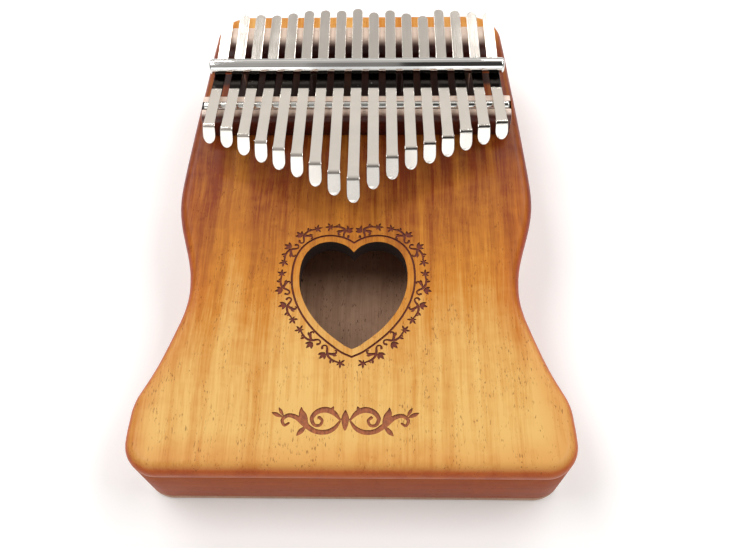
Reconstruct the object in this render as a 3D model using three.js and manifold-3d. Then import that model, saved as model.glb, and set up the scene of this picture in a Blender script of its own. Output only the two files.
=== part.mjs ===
// Seventeen-key mbira (thumb piano): hollow wooden sound box with a heart-shaped
// sound hole, two wooden bridges, two round steel rods and seventeen steel tines.
// Units are millimetres. The origin is the middle of the back face; +Z points out
// of the soundboard, +Y towards the clamped ends of the tines, +X to the right
// when the tips of the tines point at the player.
import * as THREE from 'three';
import Module from 'manifold-3d';
import { mergeVertices } from 'three/addons/utils/BufferGeometryUtils.js';

const wasm = await Module();
wasm.setup();

// ---------------------------------------------------------------- dimensions
const GAP = 0.3;                 // glue line or running clearance between pieces
const BODY_LENGTH = 185;         // along Y
const BODY_HEIGHT = 32;          // along Z
const BOARD_THICK = 5.6;         // soundboard
const BACK_THICK = 3.5;          // back board
const WALL = 8.5;                // rim wall
const ROUNDOVER = 4.0;           // front edge of the soundboard
const BACK_ROUND = 1.5;          // edge of the back board
const TOP_HALF = 56.0;           // half width at the head end
const TOP_RADIUS = 12.6;         // head corners
const BOTTOM_HALF = 67.5;        // half width at the tail end
const BOTTOM_RADIUS = 10;        // tail corners
const RIM_SPLIT_HEAD = 78.5;     // joint between head rail and side rails
const RIM_SPLIT_TAIL = -80.5;    // joint between tail rail and side rails

// side of the body from the head corner to the tail corner, with the palm waist
const SIDE = [
  [56.45, 75.5], [57.1, 68], [57.8, 58.5], [58.6, 49], [59.4, 39], [60.0, 30.5],
  [60.7, 20.5], [61.25, 11], [61.35, 5], [60.9, -0.5], [59.7, -6.5], [58.0, -12.5],
  [56.2, -18.5], [54.8, -24.5], [54.2, -30], [54.15, -34], [54.7, -38.3],
  [55.55, -42], [56.65, -45.5], [57.75, -49], [58.9, -52.4], [60.1, -55.8],
  [61.4, -59.2], [62.85, -62.5], [64.45, -65.8], [65.95, -69], [66.85, -72.3],
  [67.2, -76], [67.45, -79.6],
];

// heart-shaped sound hole, right half from the notch to the point
const HEART = [
  [0, -18.4], [1.9, -16.4], [4.6, -14.95], [8.1, -14.35], [11.6, -15.1],
  [14.6, -17.2], [16.5, -20.1], [17.4, -23.2], [17.75, -27], [17.55, -30.8],
  [17.0, -33.5], [16.2, -36], [15.1, -38.5], [13.7, -41], [12.0, -43.4],
  [9.9, -45.9], [7.4, -48.3], [4.5, -50.7], [1.9, -52.6], [0, -53.5],
];

const FACE_Z = BODY_HEIGHT;                       // soundboard face
const BOARD_Z = FACE_Z - BOARD_THICK;             // underside of the soundboard
const RIM_TOP = BOARD_Z - GAP;
const RIM_BOTTOM = BACK_THICK + GAP;

const FRONT_BRIDGE = { y0: 30.8, y1: 41.2, half: 54.9, top: FACE_Z + 9.9, front: 3.2, back: 1.2 };
const REAR_BRIDGE = { y0: 64.6, y1: 75.4, half: 50.2, top: FACE_Z + 9.6, front: 6.0, back: 1.4 };
const FRONT_ROD = { y: 36.3, z: FACE_Z + 9.6, r: 1.5, half: 54.1 };
const PRESSURE_ROD = { y: 51.6, z: FACE_Z + 13.35, r: 2.75, half: 53.0 };

const TINES = 17;
const TINE_WIDTH = 3.8;
const TIP_WIDTH = 4.3;
const TINE_THICK = 1.0;
const TINE_PITCH = 6.27;                          // at the front rod
const TINE_FAN = 0.197 * Math.PI / 180;           // turn from one tine to the next
const TINE_RISE = 0.146;                          // slope of the blades
const TIP_DROP = 50 * Math.PI / 180;              // bend of the tips
const PIVOT_Z = FRONT_ROD.z + FRONT_ROD.r + GAP;  // underside of a tine over the front rod
// distance forward of the front rod of the tip crease, and length of the bent tip
const CREASE = [11.9, 13.6, 16.9, 20.1, 23.4, 26.3, 30.3, 34.3, 37.2, 31.4, 27.3, 23.3, 20.9, 18.0, 15.1, 12.7, 10.7];
const TIP_LEN = [5.9, 6.2, 6.5, 6.7, 6.8, 7.2, 7.4, 7.4, 7.7, 7.5, 7.3, 6.9, 6.6, 6.4, 6.3, 6.0, 5.6];
// distance behind the front rod of the clamped end
const HEAD = [43.0, 43.2, 43.3, 43.0, 44.0, 45.2, 45.4, 45.2, 46.1, 44.2, 45.2, 43.6, 42.3, 45.4, 44.8, 44.0, 43.6];

const SCREW_X = [-40.35, -15.52, 15.52, 40.35];   // in the gaps between tines 2 and 3, 6 and 7, 11 and 12, 15 and 16
const SCREW_R = 1.0;
const SCREW_HEAD_R = 2.0;
const SCREW_HOLE_R = 1.3;
const BRACE = { x: 44, y0: 30, y1: 77, z0: 18.1 };
const WASHER = { r: 2.6, hole: 1.3, thick: 0.5 };

// ------------------------------------------------------------------- helpers
function toSolid(geometry) {
  const g = geometry.clone();
  g.deleteAttribute('normal');
  g.deleteAttribute('uv');
  const m = mergeVertices(g, 1e-5);
  return new wasm.Manifold(new wasm.Mesh({
    numProp: 3,
    vertProperties: new Float32Array(m.attributes.position.array),
    triVerts: new Uint32Array(m.index.array),
  }));
}

function toGeometry(solid) {
  const mesh = solid.getMesh();
  const g = new THREE.BufferGeometry();
  const p = new Float32Array(mesh.numVert * 3);
  for (let i = 0; i < mesh.numVert; i++) {
    for (let j = 0; j < 3; j++) p[3 * i + j] = mesh.vertProperties[i * mesh.numProp + j];
  }
  g.setAttribute('position', new THREE.BufferAttribute(p, 3));
  g.setIndex(new THREE.BufferAttribute(new Uint32Array(mesh.triVerts), 1));
  const flat = g.toNonIndexed();
  flat.computeVertexNormals();
  return flat;
}

function box(x0, x1, y0, y1, z0, z1) {
  const g = new THREE.BoxGeometry(x1 - x0, y1 - y0, z1 - z0);
  g.translate((x0 + x1) / 2, (y0 + y1) / 2, (z0 + z1) / 2);
  return toSolid(g);
}

function pegZ(x, y, r, z0, z1, n = 16) {
  const g = new THREE.CylinderGeometry(r, r, z1 - z0, n);
  g.rotateX(Math.PI / 2);
  g.translate(x, y, (z0 + z1) / 2);
  return toSolid(g);
}

function shapeOf(points) {
  return new THREE.Shape(points.map((p) => new THREE.Vector2(p[0], p[1])));
}

// prism of a plan outline between two heights
function prism(points, z0, z1, holes = []) {
  const s = shapeOf(points);
  for (const h of holes) s.holes.push(new THREE.Path(h.map((p) => new THREE.Vector2(p[0], p[1]))));
  const g = new THREE.ExtrudeGeometry(s, { depth: z1 - z0, bevelEnabled: false, curveSegments: 1 });
  g.translate(0, 0, z0);
  return toSolid(g);
}

// prism of a side profile given as (y, z), running along X
function bar(profile, x0, x1) {
  const g = new THREE.ExtrudeGeometry(shapeOf(profile), { depth: x1 - x0, bevelEnabled: false, curveSegments: 1 });
  const m = new THREE.Matrix4().makeBasis(
    new THREE.Vector3(0, 1, 0), new THREE.Vector3(0, 0, 1), new THREE.Vector3(1, 0, 0));
  g.applyMatrix4(m);
  g.translate(x0, 0, 0);
  return toSolid(g);
}

// round bar along X with turned, chamfered ends
function roundBar(spec, chamfer, n) {
  const { r, half } = spec;
  const pts = [[0, -half], [r - chamfer, -half], [r, -half + chamfer], [r, half - chamfer], [r - chamfer, half], [0, half]]
    .map((p) => new THREE.Vector2(p[0], p[1]));
  const g = new THREE.LatheGeometry(pts, n);
  g.rotateZ(-Math.PI / 2);
  g.translate(0, spec.y, spec.z);
  return toSolid(g);
}

function arc(cx, cy, r, a0, a1, n) {
  const out = [];
  for (let i = 0; i <= n; i++) {
    const a = THREE.MathUtils.degToRad(a0 + (a1 - a0) * i / n);
    out.push([cx + r * Math.cos(a), cy + r * Math.sin(a)]);
  }
  return out;
}

function smooth(points, step) {
  const c = new THREE.CatmullRomCurve3(points.map((p) => new THREE.Vector3(p[0], p[1], 0)), false, 'centripetal');
  const n = Math.round(c.getLength() / step);
  return c.getSpacedPoints(n).map((v) => [v.x, v.y]);
}

// closed body outline, anticlockwise seen from +Z
function bodyOutline() {
  const h = BODY_LENGTH / 2;
  const head = arc(TOP_HALF - TOP_RADIUS, h - TOP_RADIUS, TOP_RADIUS, 90, 1, 7);
  const tail = arc(BOTTOM_HALF - BOTTOM_RADIUS, -h + BOTTOM_RADIUS, BOTTOM_RADIUS, 0, -90, 7);
  const side = smooth([head[head.length - 1], ...SIDE, tail[0]], 3.4);
  const right = [...head, ...side.slice(1, -1), ...tail];      // head to tail, +X side
  const left = right.map((p) => [-p[0], p[1]]);
  return [...right.slice().reverse(), ...left];
}

// the same outline moved inwards
function inset(points, d) {
  const n = points.length;
  return points.map((p, i) => {
    const a = points[(i + n - 1) % n];
    const b = points[(i + 1) % n];
    const tx = b[0] - a[0];
    const ty = b[1] - a[1];
    const l = Math.hypot(tx, ty);
    return [p[0] - d * ty / l, p[1] + d * tx / l];
  });
}

const OUTLINE = bodyOutline();

// plate with its outer edge rounded on one side
function roundedPlate(z0, z1, r, segments, front) {
  const g = new THREE.ExtrudeGeometry(shapeOf(OUTLINE), {
    depth: 20, bevelEnabled: true, bevelThickness: r, bevelSize: r, bevelOffset: -r,
    bevelSegments: segments, curveSegments: 1,
  });
  g.translate(0, 0, front ? z1 - r - 20 : z0 + r);
  return toSolid(g).intersect(box(-90, 90, -120, 120, z0, z1));
}

const root = new THREE.Group();
root.name = 'mbira';

function add(name, solid, colour, roughness, metalness, parent = root) {
  const geometry = solid.isBufferGeometry ? solid : toGeometry(solid);
  const mesh = new THREE.Mesh(geometry, new THREE.MeshStandardMaterial({ color: colour, roughness, metalness }));
  mesh.name = name;
  parent.add(mesh);
  return mesh;
}

// ------------------------------------------------------------------ sound box
const heartHalf = smooth(HEART, 2.6);
const heart = [...heartHalf.slice().reverse(), ...heartHalf.slice(1, -1).map((p) => [-p[0], p[1]])];

let soundboard = roundedPlate(BOARD_Z, FACE_Z, ROUNDOVER, 4, true)
  .subtract(prism(heart, BOARD_Z - 2, FACE_Z + 2));
for (const x of SCREW_X) soundboard = soundboard.subtract(pegZ(x, PRESSURE_ROD.y, SCREW_HOLE_R, BOARD_Z - 1, FACE_Z + 1));
add('soundboard', soundboard, 0xd08a3c, 0.35, 0);

const rim = prism(OUTLINE, RIM_BOTTOM, RIM_TOP, [inset(OUTLINE, WALL)]);
const big = 200;
add('head_rail', rim.intersect(box(-big, big, RIM_SPLIT_HEAD + GAP / 2, big, 0, 40)), 0x9c5a30, 0.45, 0);
add('tail_rail', rim.intersect(box(-big, big, -big, RIM_SPLIT_TAIL - GAP / 2, 0, 40)), 0x96502d, 0.45, 0);
const sides = rim.intersect(box(-big, big, RIM_SPLIT_TAIL + GAP / 2, RIM_SPLIT_HEAD - GAP / 2, 0, 40));
add('left_rail', sides.intersect(box(-big, 0, -big, big, 0, 40)), 0x98532e, 0.45, 0);
add('right_rail', sides.intersect(box(0, big, -big, big, 0, 40)), 0x98532e, 0.45, 0);

add('back_board', roundedPlate(0, BACK_THICK, BACK_ROUND, 2, false), 0xa8703f, 0.5, 0);

// ------------------------------------------------- brace, screws and washers
let brace = box(-BRACE.x, BRACE.x, BRACE.y0, BRACE.y1, BRACE.z0, RIM_TOP);
for (const x of SCREW_X) brace = brace.subtract(pegZ(x, PRESSURE_ROD.y, SCREW_HOLE_R, BRACE.z0 - 1, RIM_TOP + 1));
add('bridge_brace', brace, 0xb98654, 0.7, 0);

const washerTop = BRACE.z0 - GAP;
const headTop = washerTop - WASHER.thick - GAP;
const screwEnd = PRESSURE_ROD.z + 0.5;
SCREW_X.forEach((x, i) => {
  const screw = new THREE.LatheGeometry([
    [0, headTop - 1.6], [SCREW_HEAD_R - 0.3, headTop - 1.6], [SCREW_HEAD_R, headTop - 1.2], [SCREW_HEAD_R, headTop],
    [SCREW_R, headTop], [SCREW_R, screwEnd - 0.4], [SCREW_R - 0.4, screwEnd], [0, screwEnd],
  ].map((p) => new THREE.Vector2(p[0], p[1])), 12);
  screw.rotateX(Math.PI / 2);
  screw.translate(x, PRESSURE_ROD.y, 0);
  const washer = new THREE.LatheGeometry([
    [WASHER.hole, washerTop - WASHER.thick], [WASHER.r, washerTop - WASHER.thick], [WASHER.r, washerTop],
    [WASHER.hole, washerTop], [WASHER.hole, washerTop - WASHER.thick],
  ].map((p) => new THREE.Vector2(p[0], p[1])), 16);
  washer.rotateX(Math.PI / 2);
  washer.translate(x, PRESSURE_ROD.y, 0);
  add(`pressure_screw_${i + 1}`, toSolid(screw), 0xb8b8b4, 0.3, 1);
  add(`screw_washer_${i + 1}`, toSolid(washer), 0xc2c2bd, 0.35, 1);
});

// --------------------------------------------------------- bridges and rods
function bridgeProfile(b, n = 5) {
  const z0 = FACE_Z + GAP;
  return [
    [b.y0, z0], [b.y1, z0],
    ...arc(b.y1 - b.back, b.top - b.back, b.back, 0, 90, 3),
    ...arc(b.y0 + b.front, b.top - b.front, b.front, 90, 180, n),
  ];
}

const groove = new THREE.CylinderGeometry(FRONT_ROD.r + GAP, FRONT_ROD.r + GAP, 130, 24);
groove.rotateZ(Math.PI / 2);
groove.translate(0, FRONT_ROD.y, FRONT_ROD.z);
const grooveCut = toSolid(groove).add(box(-65, 65, FRONT_ROD.y - FRONT_ROD.r - GAP, FRONT_ROD.y + FRONT_ROD.r + GAP, FRONT_ROD.z, FRONT_ROD.z + 5));
add('front_bridge', bar(bridgeProfile(FRONT_BRIDGE), -FRONT_BRIDGE.half, FRONT_BRIDGE.half).subtract(grooveCut), 0x5a2417, 0.25, 0);
add('front_bridge_rod', roundBar(FRONT_ROD, 0.3, 20), 0xd8d8d4, 0.12, 1);
add('rear_bridge', bar(bridgeProfile(REAR_BRIDGE, 8), -REAR_BRIDGE.half, REAR_BRIDGE.half), 0x5a2417, 0.25, 0);

let rod = roundBar(PRESSURE_ROD, 0.7, 24);
for (const x of SCREW_X) rod = rod.subtract(pegZ(x, PRESSURE_ROD.y, SCREW_HOLE_R, PRESSURE_ROD.z - 4, screwEnd + GAP, 14));
add('pressure_rod', rod, 0xe4e4e0, 0.08, 1);

// ------------------------------------------------------------------- tines
// underside of a tine behind the front rod: (distance behind the rod, height)
const DIP = PRESSURE_ROD.y - FRONT_ROD.y;
const dipZ = PIVOT_Z - TINE_RISE * DIP;
const REAR_SLOPE = 0.047;

function shankSolid(head) {
  const under = [
    [0.15, PIVOT_Z - TINE_RISE * 0.15],
    [DIP - 3.4, PIVOT_Z - TINE_RISE * (DIP - 3.4)],
    [DIP - 1.2, dipZ + 0.21], [DIP + 0.8, dipZ + 0.14], [DIP + 3.2, dipZ + REAR_SLOPE * 3.2],
    [head, dipZ + REAR_SLOPE * head - REAR_SLOPE * DIP],
  ];
  const over = under.slice().reverse().map((p) => [p[0], p[1] + TINE_THICK]);
  const side = bar([...under, ...over], -TINE_WIDTH, TINE_WIDTH);
  const w = TINE_WIDTH / 2;
  const plan = [[-w, 0], [w, 0], ...arc(0, head - w * 0.9, w, 0, 180, 8)];
  return side.intersect(prism(plan, 0, 90));
}

function bladeSolid(crease, tip) {
  const zc = PIVOT_Z + TINE_RISE * crease;
  const c = Math.cos(TIP_DROP);
  const s = Math.sin(TIP_DROP);
  const under = [
    [-0.15, PIVOT_Z + TINE_RISE * 0.15],
    [-(crease - 0.9), zc - TINE_RISE * 0.9],
    [-(crease + 0.2), zc - 0.03],
    [-(crease + 1.2 * c), zc - 1.2 * s + 0.06],
    [-(crease + tip * c), zc - tip * s],
  ];
  const over = under.slice().reverse().map((p) => [p[0], p[1] + TINE_THICK]);
  const side = bar([...over, ...under].reverse(), -TINE_WIDTH, TINE_WIDTH);
  const w = TINE_WIDTH / 2;
  const t = TIP_WIDTH / 2;
  const end = crease + tip * c;
  const plan = [
    [w, 0.2], [-w, 0.2], [-w, -(crease - 3)], [-(w + t) / 2, -(crease - 0.5)], [-t, -(crease + 1.5)],
    ...arc(0, -(end - t * 0.9), t, 180, 360, 8),
    [t, -(crease + 1.5)], [(w + t) / 2, -(crease - 0.5)], [w, -(crease - 3)],
  ];
  return side.intersect(prism(plan, 0, 90));
}

for (let k = 0; k < TINES; k++) {
  const place = new THREE.Group();
  place.position.set((k - 8) * TINE_PITCH, FRONT_ROD.y, 0);
  place.rotation.z = (k - 8) * TINE_FAN;
  const id = String(k + 1).padStart(2, '0');
  add(`tine_${id}_shank`, shankSolid(HEAD[k]), 0xd9d7d2, 0.15, 1, place);
  add(`tine_${id}_blade`, bladeSolid(CREASE[k], TIP_LEN[k]), 0xd9d7d2, 0.15, 1, place);
  root.add(place);
}

export default root;
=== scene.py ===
import bpy
import bmesh
import math
import numpy as np
from mathutils import Vector, Matrix
from mathutils.geometry import tessellate_polygon


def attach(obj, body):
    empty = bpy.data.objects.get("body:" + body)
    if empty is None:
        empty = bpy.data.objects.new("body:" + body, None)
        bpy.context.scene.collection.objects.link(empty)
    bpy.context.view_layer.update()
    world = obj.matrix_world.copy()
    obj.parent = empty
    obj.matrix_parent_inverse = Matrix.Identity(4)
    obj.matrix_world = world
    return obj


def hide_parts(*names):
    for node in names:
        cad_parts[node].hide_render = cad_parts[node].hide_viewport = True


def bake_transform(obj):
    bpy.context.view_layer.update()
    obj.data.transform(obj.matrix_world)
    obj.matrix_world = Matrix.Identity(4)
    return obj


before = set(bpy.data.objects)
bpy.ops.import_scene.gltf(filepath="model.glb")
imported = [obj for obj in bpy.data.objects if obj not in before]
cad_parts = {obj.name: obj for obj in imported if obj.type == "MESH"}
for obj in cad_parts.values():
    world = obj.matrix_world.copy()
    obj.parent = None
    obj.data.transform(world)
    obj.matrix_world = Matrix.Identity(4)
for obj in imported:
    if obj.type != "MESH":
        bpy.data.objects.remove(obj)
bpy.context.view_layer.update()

MM = 0.001
FACE_Z = 32.0
ROOT = "sound_box"

# =====================================================================
# small mesh helpers (all plan work is in millimetres, +Z up)
# =====================================================================

def catmull(points, step):
    """Centripetal Catmull-Rom curve through the points, resampled at an even step."""
    P = [np.array(p, float) for p in points]
    P = [2 * P[0] - P[1]] + P + [2 * P[-1] - P[-2]]
    out = []
    for i in range(1, len(P) - 2):
        p0, p1, p2, p3 = P[i - 1:i + 3]
        t0 = 0.0
        t1 = t0 + np.linalg.norm(p1 - p0) ** 0.5
        t2 = t1 + np.linalg.norm(p2 - p1) ** 0.5
        t3 = t2 + np.linalg.norm(p3 - p2) ** 0.5
        for t in np.linspace(t1, t2, 24, endpoint=False):
            a1 = (t1 - t) / (t1 - t0) * p0 + (t - t0) / (t1 - t0) * p1
            a2 = (t2 - t) / (t2 - t1) * p1 + (t - t1) / (t2 - t1) * p2
            a3 = (t3 - t) / (t3 - t2) * p2 + (t - t2) / (t3 - t2) * p3
            b1 = (t2 - t) / (t2 - t0) * a1 + (t - t0) / (t2 - t0) * a2
            b2 = (t3 - t) / (t3 - t1) * a2 + (t - t1) / (t3 - t1) * a3
            out.append((t2 - t) / (t2 - t1) * b1 + (t - t1) / (t2 - t1) * b2)
    out.append(P[-2])
    out = np.array(out)
    s = np.concatenate([[0], np.cumsum(np.linalg.norm(np.diff(out, axis=0), axis=1))])
    n = max(2, int(round(s[-1] / step)))
    q = np.linspace(0, s[-1], n + 1)
    return np.stack([np.interp(q, s, out[:, k]) for k in range(out.shape[1])], 1)


def arc(cx, cy, r, a0, a1, n):
    a = np.radians(np.linspace(a0, a1, n + 1))
    return np.stack([cx + r * np.cos(a), cy + r * np.sin(a)], 1)


def offset(loop, d):
    """Closed anticlockwise loop moved inwards by d."""
    a, b = np.roll(loop, 1, 0), np.roll(loop, -1, 0)
    t = b - a
    t /= np.linalg.norm(t, axis=1)[:, None]
    return loop + d * np.stack([-t[:, 1], t[:, 0]], 1)


def new_object(name, verts, faces, scale=MM):
    me = bpy.data.meshes.new(name)
    me.from_pydata([tuple(float(c) * scale for c in v) for v in verts], [], [tuple(f) for f in faces])
    me.validate()
    ob = bpy.data.objects.new(name, me)
    bpy.context.scene.collection.objects.link(ob)
    return ob


def tidy(ob, angle=35.0):
    """Outward normals, smooth faces and sharp edges by angle."""
    bm = bmesh.new()
    bm.from_mesh(ob.data)
    bmesh.ops.recalc_face_normals(bm, faces=bm.faces)
    for f in bm.faces:
        f.smooth = True
    bm.to_mesh(ob.data)
    bm.free()
    ob.data.set_sharp_from_angle(angle=math.radians(angle))
    ob.data.update()
    return ob


def stack_solid(name, rings):
    """Closed solid from plan loops at heights: [(loop, z), ...], all with the same number of points."""
    n = len(rings[0][0])
    verts, faces = [], []
    for loop, z in rings:
        verts += [(p[0], p[1], z) for p in loop]
    for k in range(len(rings) - 1):
        for i in range(n):
            j = (i + 1) % n
            faces.append((k * n + i, k * n + j, (k + 1) * n + j, (k + 1) * n + i))
    faces.append(tuple(reversed(range(n))))
    faces.append(tuple((len(rings) - 1) * n + i for i in range(n)))
    return new_object(name, verts, faces)


def prism(name, groups, z0, z1):
    """Closed prisms from plan polygons with holes: groups = [[outer, hole, ...], ...]."""
    verts, faces = [], []
    for loops in groups:
        base = len(verts)
        flat = [p for l in loops for p in l]
        n = len(flat)
        verts += [(p[0], p[1], z0) for p in flat] + [(p[0], p[1], z1) for p in flat]
        tris = tessellate_polygon([[Vector((p[0], p[1], 0)) for p in l] for l in loops])
        for t in tris:
            a, b, c = (np.array(flat[i]) for i in t)
            ccw = (b[0] - a[0]) * (c[1] - a[1]) - (b[1] - a[1]) * (c[0] - a[0]) > 0
            t = tuple(t) if ccw else tuple(reversed(t))
            faces.append(tuple(base + n + i for i in t))
            faces.append(tuple(base + i for i in reversed(t)))
        k = 0
        for l in loops:
            m = len(l)
            for i in range(m):
                a, b = base + k + i, base + k + (i + 1) % m
                faces.append((a, b, b + n, a + n))
            k += m
    ob = new_object(name, verts, faces)
    bm = bmesh.new()
    bm.from_mesh(ob.data)
    bmesh.ops.recalc_face_normals(bm, faces=bm.faces)
    bm.to_mesh(ob.data)
    bm.free()
    return ob


def carve(ob, cutter, keep=False):
    m = ob.modifiers.new("carve", "BOOLEAN")
    m.operation = "DIFFERENCE"
    m.solver = "EXACT"
    m.material_mode = "TRANSFER"
    m.object = cutter
    dg = bpy.context.evaluated_depsgraph_get()
    me = bpy.data.meshes.new_from_object(ob.evaluated_get(dg), depsgraph=dg)
    ob.modifiers.clear()
    old = ob.data
    ob.data = me
    bpy.data.meshes.remove(old)
    if not keep:
        bpy.data.objects.remove(cutter)


def finish_piece(ob, body, slot, *nodes):
    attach(ob, body)
    if nodes:
        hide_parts(*nodes)
    return ob


# =====================================================================
# procedural materials
# =====================================================================

class Mat:
    def __init__(self, name):
        self.m = bpy.data.materials.new(name)
        self.m.use_nodes = True
        self.t = self.m.node_tree
        self.t.nodes.clear()
        self.out = self.t.nodes.new("ShaderNodeOutputMaterial")
        self.b = self.t.nodes.new("ShaderNodeBsdfPrincipled")
        self.t.links.new(self.b.outputs[0], self.out.inputs[0])
        self.coord = self.t.nodes.new("ShaderNodeTexCoord").outputs["Object"]

    def put(self, value, socket):
        if hasattr(value, "is_linked"):
            self.t.links.new(value, socket)
        else:
            socket.default_value = value

    def map(self, scale, rot=(0, 0, 0), loc=(0, 0, 0), src=None):
        n = self.t.nodes.new("ShaderNodeMapping")
        n.inputs["Scale"].default_value = scale
        n.inputs["Rotation"].default_value = rot
        n.inputs["Location"].default_value = loc
        self.t.links.new(src or self.coord, n.inputs["Vector"])
        return n.outputs[0]

    def noise(self, vec, scale=1.0, detail=3.0, rough=0.55, distort=0.0):
        n = self.t.nodes.new("ShaderNodeTexNoise")
        self.t.links.new(vec, n.inputs["Vector"])
        n.inputs["Scale"].default_value = scale
        n.inputs["Detail"].default_value = detail
        n.inputs["Roughness"].default_value = rough
        n.inputs["Distortion"].default_value = distort
        return n.outputs[0]

    def voronoi(self, vec, scale=1.0, feature="F1"):
        n = self.t.nodes.new("ShaderNodeTexVoronoi")
        n.feature = feature
        self.t.links.new(vec, n.inputs["Vector"])
        n.inputs["Scale"].default_value = scale
        return n.outputs["Distance"]

    def ramp(self, fac, stops, interp="LINEAR"):
        n = self.t.nodes.new("ShaderNodeValToRGB")
        n.color_ramp.interpolation = interp
        e = n.color_ramp.elements
        while len(e) > 1:
            e.remove(e[-1])
        e[0].position = stops[0][0]
        e[0].color = (*stops[0][1], 1)
        for p, c in stops[1:]:
            k = e.new(p)
            k.color = (*c, 1)
        self.put(fac, n.inputs[0])
        return n.outputs[0]

    def rng(self, v, a, b, c=0.0, d=1.0, smooth=False):
        n = self.t.nodes.new("ShaderNodeMapRange")
        n.interpolation_type = "SMOOTHSTEP" if smooth else "LINEAR"
        self.put(v, n.inputs["Value"])
        for k, x in zip(("From Min", "From Max", "To Min", "To Max"), (a, b, c, d)):
            self.put(x, n.inputs[k])
        return n.outputs[0]

    def math(self, op, a, b=0.0, clamp=False):
        n = self.t.nodes.new("ShaderNodeMath")
        n.operation = op
        n.use_clamp = clamp
        self.put(a, n.inputs[0])
        self.put(b, n.inputs[1])
        return n.outputs[0]

    def mix(self, fac, a, b, mode="MIX"):
        n = self.t.nodes.new("ShaderNodeMix")
        n.data_type = "RGBA"
        n.blend_type = mode
        self.put(fac, n.inputs["Factor"])
        ins = [s for s in n.inputs if s.type == "RGBA"]
        for v, s in ((a, ins[0]), (b, ins[1])):
            if hasattr(v, "is_linked"):
                self.t.links.new(v, s)
            else:
                s.default_value = (*v, 1) if len(v) == 3 else v
        return [s for s in n.outputs if s.type == "RGBA"][0]

    def xyz(self, src=None):
        n = self.t.nodes.new("ShaderNodeSeparateXYZ")
        self.t.links.new(src or self.coord, n.inputs[0])
        return n.outputs

    def curve(self, value, points, lo, hi):
        """Piecewise line through (x, y) points; x spans lo to hi, y is stored from 0 to 1."""
        n = self.t.nodes.new("ShaderNodeFloatCurve")
        self.t.links.new(self.rng(value, lo, hi), n.inputs["Value"])
        c = n.mapping.curves[0]
        while len(c.points) > 2:
            c.points.remove(c.points[-2])
        q = [((x - lo) / (hi - lo), y) for x, y in points]
        c.points[0].location = q[0]
        c.points[-1].location = q[-1]
        for x, y in q[1:-1]:
            c.points.new(x, y)
        for k in c.points:
            k.handle_type = "VECTOR"
        n.mapping.update()
        return n.outputs[0]

    def normal(self):
        n = self.t.nodes.new("ShaderNodeNewGeometry")
        return self.xyz(n.outputs["Normal"])

    def bump(self, height, strength, distance):
        n = self.t.nodes.new("ShaderNodeBump")
        n.inputs["Strength"].default_value = strength
        n.inputs["Distance"].default_value = distance
        self.t.links.new(height, n.inputs["Height"])
        self.t.links.new(n.outputs[0], self.b.inputs["Normal"])

    def set(self, **kw):
        for k, v in kw.items():
            self.put(v if not (isinstance(v, tuple) and len(v) == 3) else (*v, 1), self.b.inputs[k.replace("_", " ")])
        return self.m


def srgb(r, g, b):
    f = lambda c: (c / 255 / 12.92) if c / 255 <= 0.04045 else ((c / 255 + 0.055) / 1.055) ** 2.4
    return (f(r), f(g), f(b))


def lin(v, k):
    return tuple(c * k for c in v)


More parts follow.
